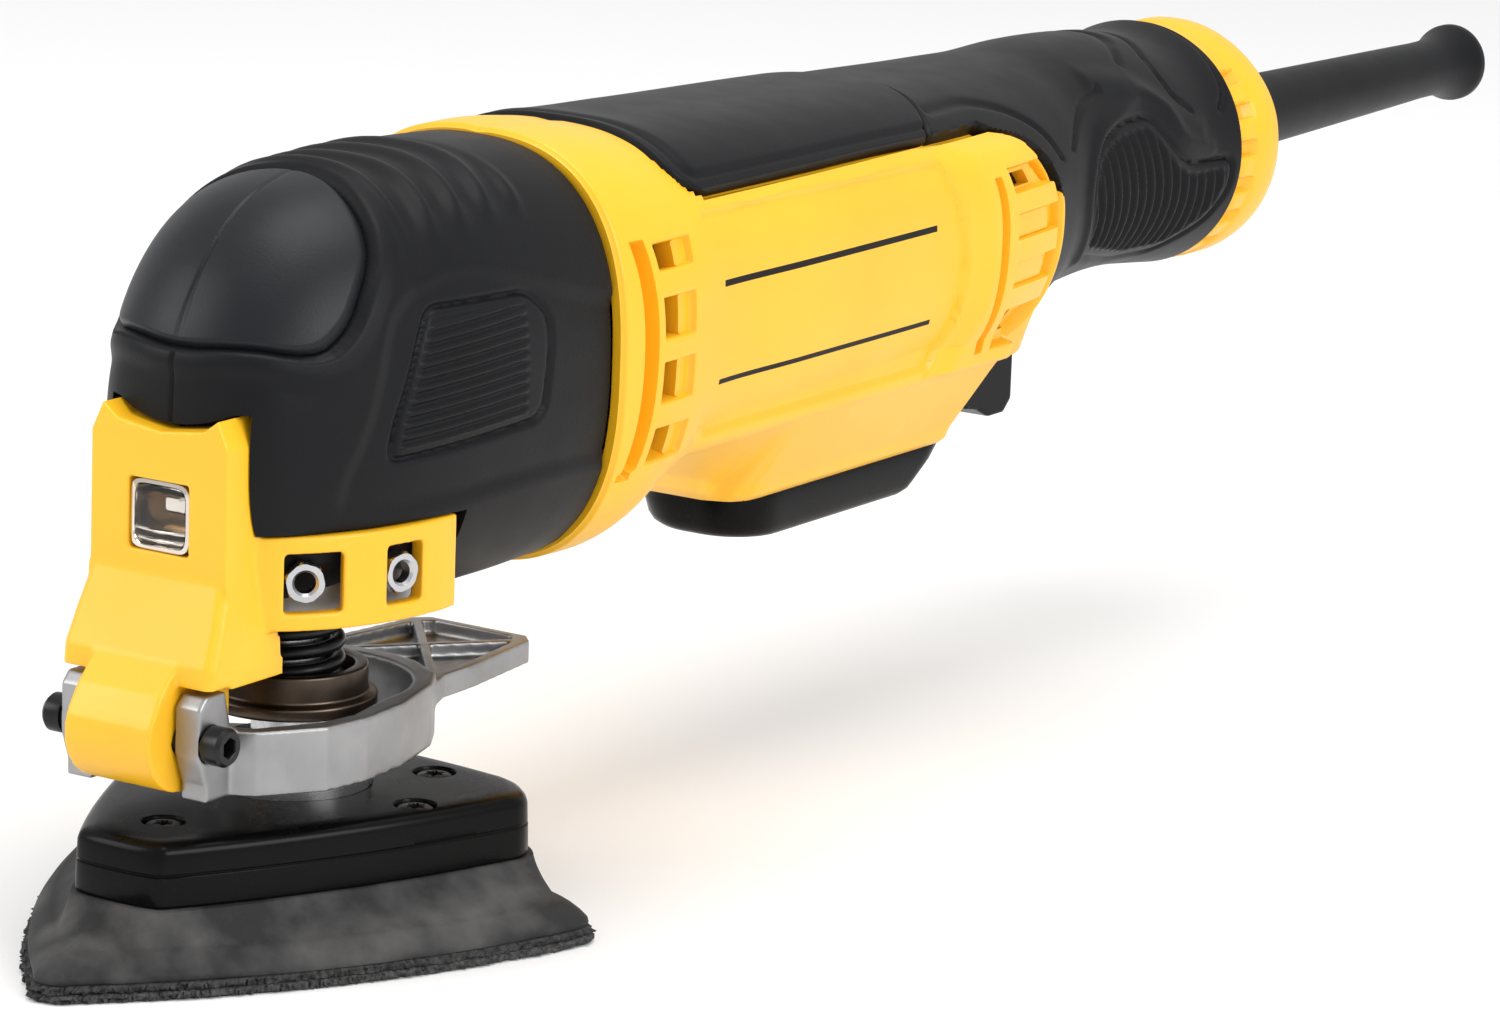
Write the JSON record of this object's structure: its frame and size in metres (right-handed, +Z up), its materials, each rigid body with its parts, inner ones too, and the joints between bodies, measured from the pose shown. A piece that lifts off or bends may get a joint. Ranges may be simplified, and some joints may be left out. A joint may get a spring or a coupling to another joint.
{
  "type": "oscillating sander",
  "caption": "Corded oscillating sander with a delta sanding pad, squeeze-lever clamp, front worklight, paddle trigger and rubber grips.",
  "frame": {"origin": "on the spindle axis at the sanding face of the abrasive sheet", "axes": "+Z up along the spindle away from the work, +Y from the spindle towards the cord end, +X to the left side of the tool"},
  "size_m": [0.093, 0.445, 0.1182],
  "materials": {
    "yellow_plastic": "satin moulded glass-filled plastic",
    "black_rubber": "fine-grained soft overmould",
    "black_plastic": "semi-gloss moulded plastic",
    "pad_foam_rubber": "scuffed, dusty",
    "hook_fabric": "hook pile",
    "abrasive": "coated abrasive sheet",
    "cast_aluminium": "satin casting",
    "bronzed_steel": "bronze oxide",
    "bright_steel": "turned",
    "black_steel": "black oxide",
    "lens_plastic": "clear",
    "chrome": "mirror reflector",
    "silicon_steel": "stacked sheets",
    "copper": "enamelled wire",
    "brass": "pressed",
    "carbon": "graphite",
    "felt": "felt",
    "circuit_board": "board with components"
  },
  "bodies": {
    "housing": {"housing_left": "yellow_plastic", "housing_right": "yellow_plastic", "head_boot": "black_rubber", "crown_pad": "black_rubber", "top_grip": "black_rubber", "rear_grip": "black_rubber", "end_cap": "yellow_plastic", "cord_guard": "black_rubber", "housing_screws": "bright_steel", "front_bracket": "yellow_plastic", "guide_nuts": "bright_steel", "light_lens": "lens_plastic", "light_module": "chrome", "hinge_screws": "black_steel", "gear_case": "cast_aluminium", "lower_spindle_bearing": "bright_steel", "upper_spindle_bearing": "bright_steel", "spindle_seal": "felt", "front_motor_bearing": "bright_steel", "stator_core": "silicon_steel", "stator_coils": "copper", "fan_baffle": "black_plastic", "rear_motor_bearing": "bright_steel", "brush_holders": "brass", "carbon_brushes": "carbon", "brush_springs": "bright_steel", "trigger_pin": "bright_steel", "trigger_spring": "bright_steel", "switch_body": "black_plastic", "control_board": "circuit_board", "cord_clamp": "black_plastic", "cord_clamp_screws": "bright_steel"},
    "rotor": {"motor_shaft": "bright_steel", "armature_core": "silicon_steel", "armature_windings": "copper", "commutator": "copper", "cooling_fan": "black_plastic", "counterweight": "bright_steel", "eccentric": "bright_steel", "eccentric_bearing": "bright_steel"},
    "spindle": {"spindle": "bright_steel", "fork": "bright_steel", "clamp_flange": "bright_steel", "clamp_foot": "bright_steel", "pad_block": "black_plastic", "pad_screws": "black_steel", "pad_rubber": "pad_foam_rubber", "hook_layer": "hook_fabric", "sanding_sheet": "abrasive"},
    "collar": {"clamp_collar": "bronzed_steel", "clamp_spring": "black_steel"},
    "lever": {"clamp_lever": "cast_aluminium"},
    "trigger": {"trigger": "black_plastic"},
    "lock_button": {"lock_button": "black_plastic"}
  },
  "joints": [
    {"name": "rotor_spin", "type": "hinge", "parent": "housing", "child": "rotor", "pos_m": [0, 0.1, 0.088], "axis": [0, 1, 0], "continuous": true},
    {"name": "spindle_oscillation", "type": "hinge", "parent": "housing", "child": "spindle", "pos_m": [0, 0, 0.05], "axis": [0, 0, 1], "range_deg": [-1.4, 1.4]},
    {"name": "clamp_lever_hinge", "type": "hinge", "parent": "housing", "child": "lever", "pos_m": [0, -0.037, 0.037], "axis": [1, 0, 0], "range_deg": [0, 7], "stiffness_Nm_per_rad": 1.5, "springref_deg": -11.46},
    {"name": "collar_lift", "type": "slide", "parent": "housing", "child": "collar", "axis": [0, 0, 1], "range_m": [0, 0.0046], "stiffness_N_per_m": 600, "springref_m": -0.003, "deforming": ["clamp_spring"]},
    {"name": "trigger_hinge", "type": "hinge", "parent": "housing", "child": "trigger", "pos_m": [0, 0.114, 0.053], "axis": [1, 0, 0], "range_deg": [0, 3], "stiffness_Nm_per_rad": 1.2, "springref_deg": -5.73, "deforming": ["trigger_spring"]},
    {"name": "lock_slide", "type": "slide", "parent": "housing", "child": "lock_button", "axis": [0, -1, 0], "range_m": [0, 0.003], "stiffness_N_per_m": 150, "springref_m": -0.002}
  ],
  "couplings": [
    {"joint": "collar_lift", "follows": "clamp_lever_hinge", "m_per_rad": 0.037}
  ]
}
